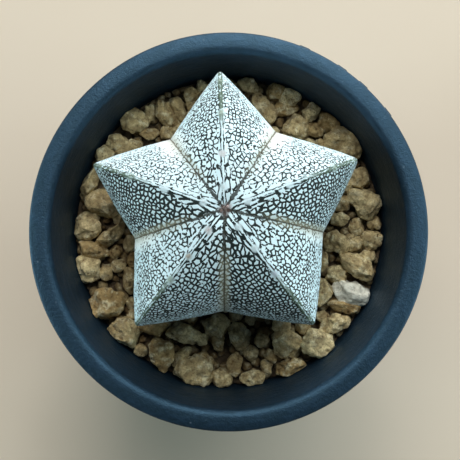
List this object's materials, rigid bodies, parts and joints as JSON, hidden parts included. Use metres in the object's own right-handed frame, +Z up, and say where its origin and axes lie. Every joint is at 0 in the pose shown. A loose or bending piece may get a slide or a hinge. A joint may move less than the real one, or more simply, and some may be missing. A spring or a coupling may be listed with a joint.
{
  "type": "potted bishop's cap cactus",
  "caption": "Ribbed bishop's cap cactus with flocked pale skin, standing in soil and grit in a round tapered plastic pot.",
  "frame": {"origin": "centre of the pot's foot, on the surface that the pot stands on", "axes": "+Z up along the pot's axis; +Y towards the rib that points away in the picture, +X to the picture's right"},
  "size_m": [0.105, 0.105, 0.1136],
  "materials": {
    "pot_plastic": "satin",
    "potting_mix": "matte",
    "grit": "matte",
    "cactus_skin": "matte"
  },
  "bodies": {
    "root": {"pot": "pot_plastic", "soil": "potting_mix", "gravel": "grit", "cactus": "cactus_skin"}
  },
  "joints": []
}
